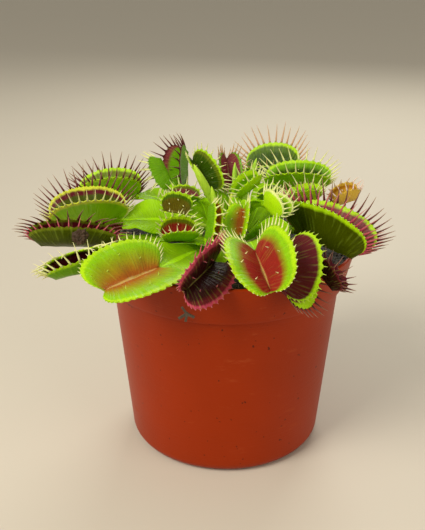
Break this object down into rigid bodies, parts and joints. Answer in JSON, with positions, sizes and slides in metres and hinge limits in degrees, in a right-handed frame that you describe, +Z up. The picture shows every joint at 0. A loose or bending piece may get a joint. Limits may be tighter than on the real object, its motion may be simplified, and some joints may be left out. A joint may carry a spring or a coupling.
{
  "type": "potted venus flytrap",
  "caption": "Potted Venus flytrap: a rosette of winged leaves ending in toothed snap traps, over dark soil in a round flared-rim nursery pot.",
  "frame": {"origin": "centre of the pot's flat underside, on the surface it stands on", "axes": "+Z up out of the soil, +X to the right, -Y towards the front, where the large open traps hang over the rim"},
  "size_m": [0.121, 0.1074, 0.1053],
  "materials": {
    "pot_plastic": "satin",
    "peat_soil": "matte",
    "crown": "satin",
    "leaf_lime": "satin",
    "leaf_green": "satin",
    "leaf_olive": "satin",
    "leaf_burgundy": "satin",
    "leaf_straw": "satin",
    "young_leaf": "satin",
    "dry_root": "matte",
    "peat_crumb": "matte"
  },
  "bodies": {
    "root": {"pot": "pot_plastic", "soil": "peat_soil", "crown": "crown", "leaf_left_upper": "leaf_lime", "leaf_left_rear": "leaf_lime", "leaf_left_dark": "leaf_olive", "leaf_left_low": "leaf_green", "leaf_front_left": "leaf_lime", "leaf_front_dark": "leaf_burgundy", "leaf_front_centre": "leaf_lime", "leaf_centre_small": "leaf_lime", "leaf_right_round": "leaf_burgundy", "leaf_right_low": "leaf_burgundy", "leaf_right_open": "leaf_olive", "leaf_right_upper": "leaf_lime", "leaf_right_middle": "leaf_lime", "leaf_right_inner": "leaf_green", "leaf_right_front": "leaf_lime", "leaf_centre_rear": "leaf_lime", "leaf_rear_right": "leaf_green", "leaf_rear_centre": "leaf_green", "leaf_rear_left": "leaf_olive", "leaf_rear_small": "leaf_green", "leaf_rear_half_open": "leaf_lime", "leaf_centre_cup": "leaf_lime", "leaf_centre_left": "leaf_lime", "leaf_front_inner": "leaf_green", "leaf_front_closed": "leaf_lime", "leaf_right_old": "leaf_straw", "young_leaf_tall": "young_leaf", "young_leaf_middle": "young_leaf", "young_leaf_left": "young_leaf", "young_leaf_rear": "young_leaf", "young_leaf_yellow": "young_leaf", "young_leaf_right": "young_leaf", "young_leaf_front": "young_leaf", "dry_sprig": "dry_root", "peat_crumb": "peat_crumb"}
  },
  "joints": []
}
